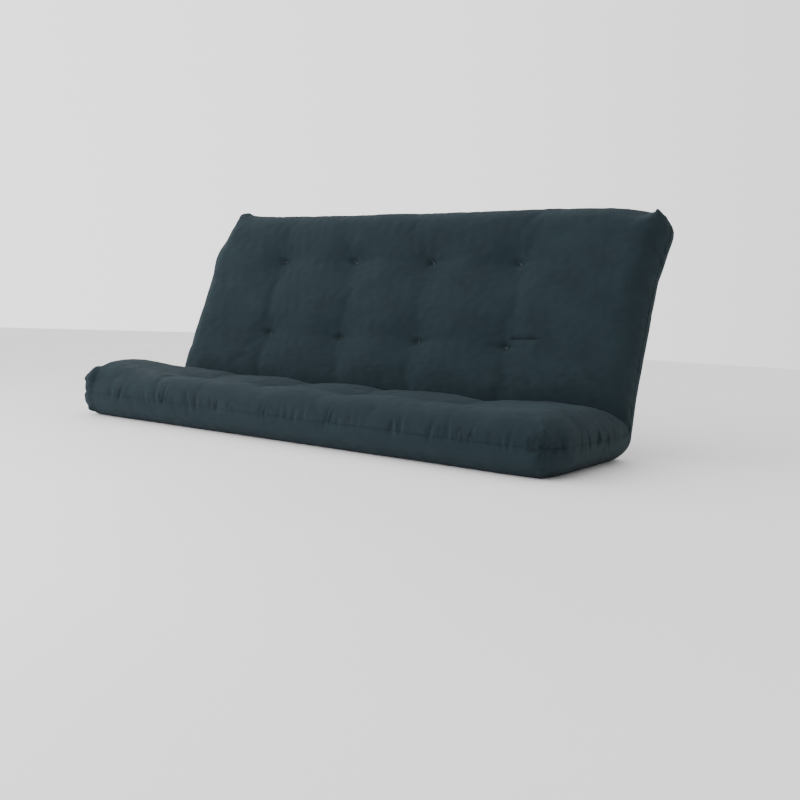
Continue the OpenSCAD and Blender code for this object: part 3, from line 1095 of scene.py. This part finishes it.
def foam_look():
    """Cut polyurethane foam: fine open cells, yellowed here and there, with painted shade in the
    cells' hollows.
    """
    look = Look("foam", 0.88, sheen=0.1, specular=0.3)
    cells = look.node("ShaderNodeTexVoronoi", {
        "Vector": look.place, "Scale": 480.0}, feature="F1").outputs["Distance"]
    age = look.noise(0.12, detail=3)
    base = look.ramp(age, (0.72, 0.62, 0.38), (0.80, 0.74, 0.54))
    # painted shade: the middle of each cell, where the open pore is, is darkened
    pore_shade = look.ramp(cells, (0.6,) * 3, (1.05,) * 3, 0.0, 0.6)
    look.colour(look.mix("MULTIPLY", 0.6, base, pore_shade))
    look.roughness(cells, 0.8, 0.95)
    look.bumps((cells, 0.0009), (age, 0.0006))
    return look.material


def label_look(wide, long):
    """Off-white woven label with a turned, stitched hem and nothing printed on it."""
    look = Look("label_cloth", 0.6, sheen=0.15, specular=0.35)
    warp_yarn, weft_yarn = look.lines(0.0006, turn=0), look.lines(0.0008, turn=90)
    weave = look.maths("MULTIPLY", warp_yarn, weft_yarn)
    dirt = look.noise(0.02, detail=4)
    axes = look.axes()
    from_side = look.maths("MINIMUM", axes["X"], look.maths("SUBTRACT", wide, axes["X"]))
    to_edge = look.maths("MINIMUM", from_side, look.maths("SUBTRACT", long, axes["Y"]))
    off_hem = look.maths("ABSOLUTE", look.maths("SUBTRACT", to_edge, LABEL_HEM), 0.0)
    line = look.ramp(look.maths("MULTIPLY", off_hem, 250.0), (1, 1, 1), (0, 0, 0), 0.08, 0.16)
    dash = look.ramp(look.lines(0.0032, turn=45), (0, 0, 0), (1, 1, 1), 0.35, 0.45)
    stitch = look.mix("MULTIPLY", 1.0, line, dash)
    base = look.ramp(weave, (0.60, 0.59, 0.55), (0.78, 0.77, 0.73), 0.1, 0.9)
    base = look.mix("MULTIPLY", 0.5, base, look.ramp(dirt, (0.85,) * 3, (1.0,) * 3))
    look.colour(look.mix("MIX", stitch, base, (0.30, 0.31, 0.33, 1)))
    look.roughness(weave, 0.5, 0.7)
    look.bumps((weave, 0.0002), (stitch, 0.0005))
    return look.material


# ---- camera, floor and light ----


def add_camera():
    """The photograph's view: 33 degrees to the right of the front, a little above the seat."""
    heading, pitch, roll = math.radians(33.115), math.radians(4.881), math.radians(2.845)
    place = (1.9034, -2.6414, 0.4049)
    data = bpy.data.cameras.new("camera")
    data.sensor_width = 36.0
    data.lens = 40.547
    camera = bpy.data.objects.new("camera", data)
    turn = Matrix.Rotation(heading, 4, "Z") @ Matrix.Rotation(math.pi / 2 - pitch, 4, "X")
    turn = turn @ Matrix.Rotation(roll, 4, "Z")
    camera.matrix_world = Matrix.Translation(place) @ turn
    bpy.context.scene.collection.objects.link(camera)
    bpy.context.scene.camera = camera


def add_area(name, place, aim, size, power, colour=(1, 1, 1)):
    data = bpy.data.lights.new(name, "AREA")
    data.shape = "DISK"
    data.size = size
    data.energy = power
    data.color = colour
    light = bpy.data.objects.new(name, data)
    light.location = place
    light.rotation_euler = (Vector(aim) - Vector(place)).to_track_quat("-Z", "Y").to_euler()
    bpy.context.scene.collection.objects.link(light)


def floor_look():
    look = Look("floor", 0.62, specular=0.25)
    tone = look.noise(1.4, detail=3)
    grain = look.noise(0.02, detail=4)
    look.colour(look.ramp(tone, (0.90, 0.90, 0.895), (0.94, 0.94, 0.935)))
    look.roughness(grain, 0.55, 0.68)
    look.bumps((grain, 0.00008), (tone, 0.0001))
    return look.material


def add_stage():
    half = 12.0
    corners = np.array([(-half, -half, 0), (half, -half, 0), (half, half, 0), (-half, half, 0)])
    mesh_object("floor", corners, np.array([[0, 1, 2, 3]]), floor_look())
    world = bpy.data.worlds.new("studio")
    world.use_nodes = True
    tree = world.node_tree
    background = tree.nodes["Background"]
    background.inputs["Color"].default_value = (1, 1, 1, 1)
    left, right = 2.3, 0.55                   # the studio is brighter on the left
    direction = tree.nodes.new("ShaderNodeTexCoord")
    apart = tree.nodes.new("ShaderNodeSeparateXYZ")
    span = tree.nodes.new("ShaderNodeMapRange")
    for name, value in (("From Min", -1), ("From Max", 1), ("To Min", left), ("To Max", right)):
        span.inputs[name].default_value = value
    tree.links.new(direction.outputs["Generated"], apart.inputs[0])
    tree.links.new(apart.outputs["X"], span.inputs["Value"])
    tree.links.new(span.outputs[0], background.inputs["Strength"])
    bpy.context.scene.world = world
    add_area("key", (-2.0, -2.5, 1.9), (-0.1, 0.0, 0.25), 1.8, 45, (0.98, 1.0, 1.0))
    add_area("fill", (-0.1, -3.1, 1.10), (0.1, -0.4, 0.1), 1.9, 38, (1.0, 0.94, 1.03))


add_camera()
add_stage()
cover = build_cover()
cover_pieces(cover, twill_look())
thread, twine = thread_look(), twine_look()
seam_pieces(cover, thread)
filling_pieces(cover, wrap_look(), batt_look(), foam_look())
tuft_pieces(cover, twine)
closing_stitch_piece(cover, thread)
label_piece(cover)
